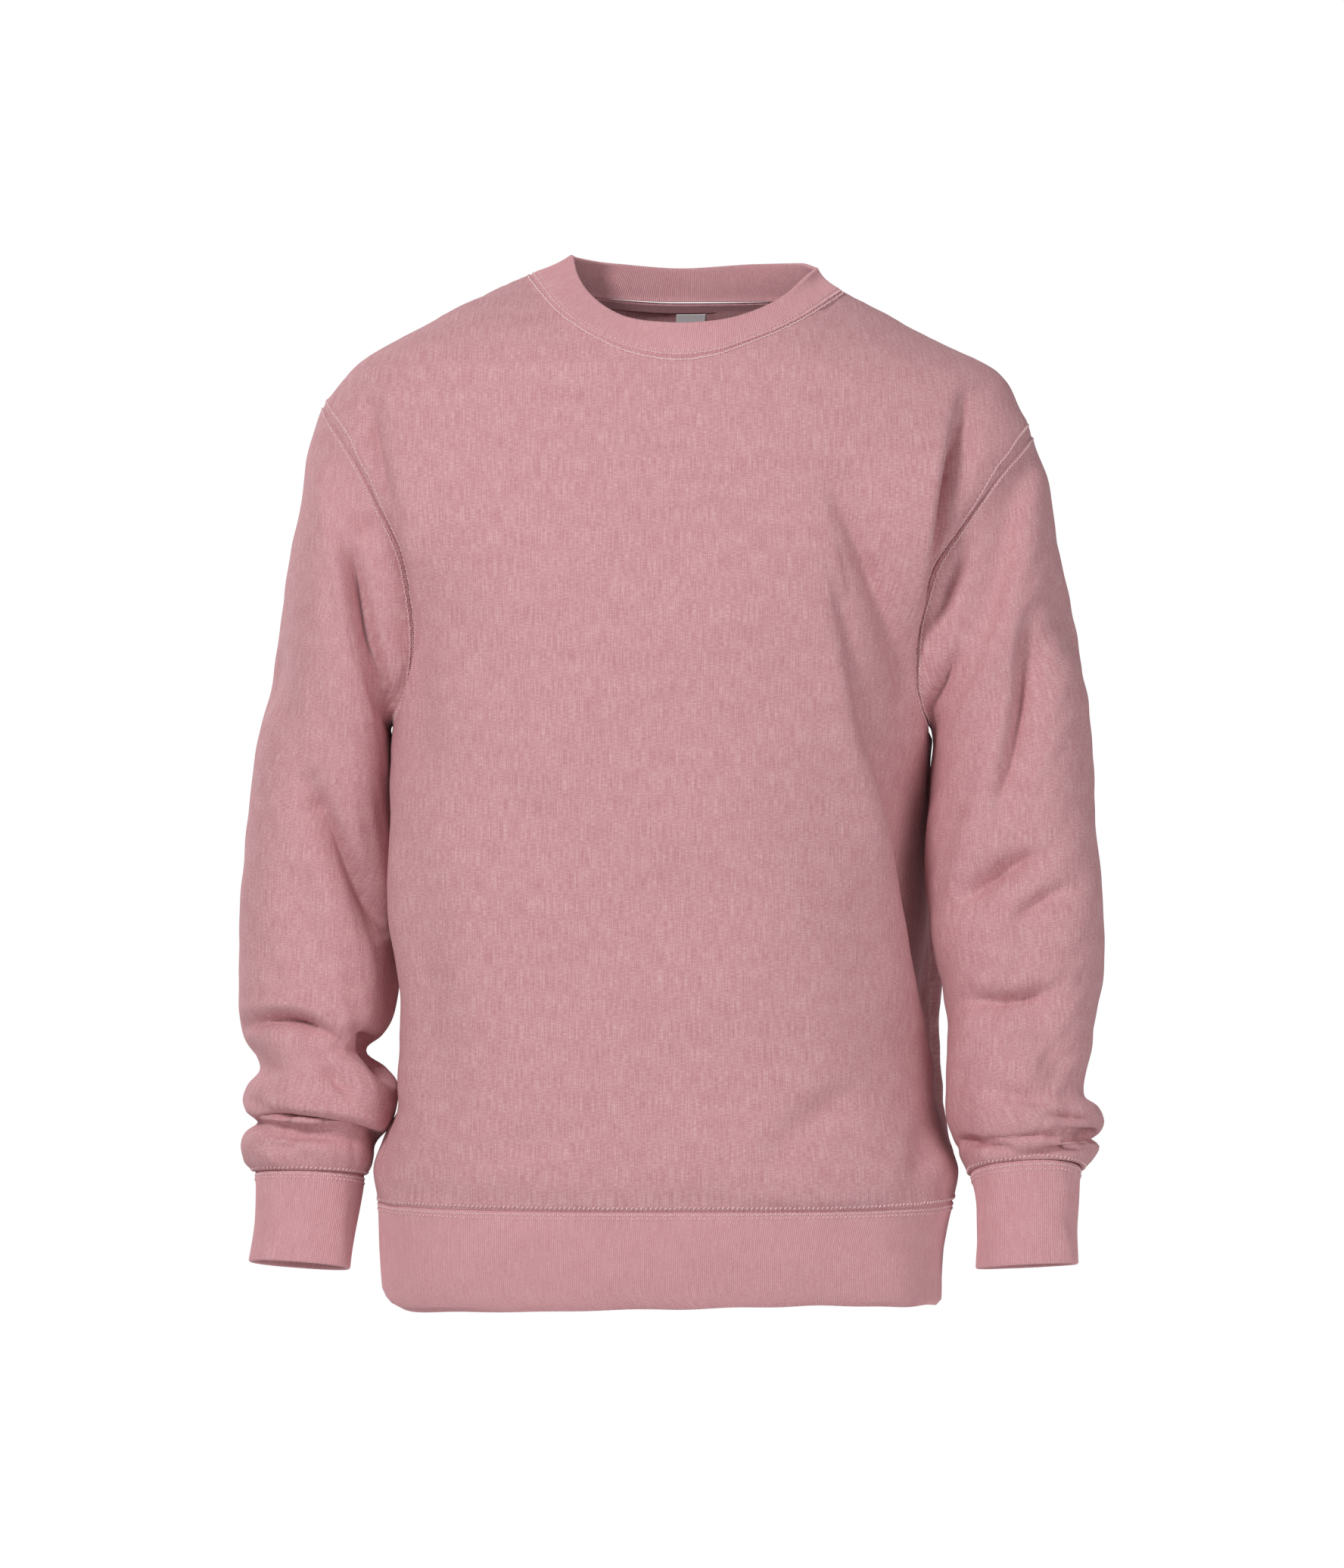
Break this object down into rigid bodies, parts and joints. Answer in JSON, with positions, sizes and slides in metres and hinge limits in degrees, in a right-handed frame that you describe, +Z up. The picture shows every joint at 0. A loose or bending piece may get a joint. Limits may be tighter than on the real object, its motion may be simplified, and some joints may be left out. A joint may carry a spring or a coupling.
{
  "type": "crewneck sweatshirt",
  "caption": "Long-sleeved crewneck sweatshirt of brushed fleece, filled out with its arms hanging, with rib knit at the neck, cuffs and hem.",
  "frame": {"origin": "between the shoulders, at the height where the neck seam crosses the right shoulder, halfway between the front and the back", "axes": "+Z is up, the front faces -Y, and the wearer's left arm is at +X"},
  "size_m": [0.572, 0.2424, 0.699],
  "materials": {
    "fleece": "brushed heathered knit",
    "rib": "heathered rib knit",
    "tape": "woven tape",
    "label": "woven label"
  },
  "bodies": {
    "root": {"front_panel": "fleece", "back_panel": "fleece", "sleeve_right": "fleece", "sleeve_left": "fleece", "cuff_right": "rib", "cuff_left": "rib", "hem_band": "rib", "neck_rib": "rib", "neck_tape": "tape", "neck_label": "label"}
  },
  "joints": []
}
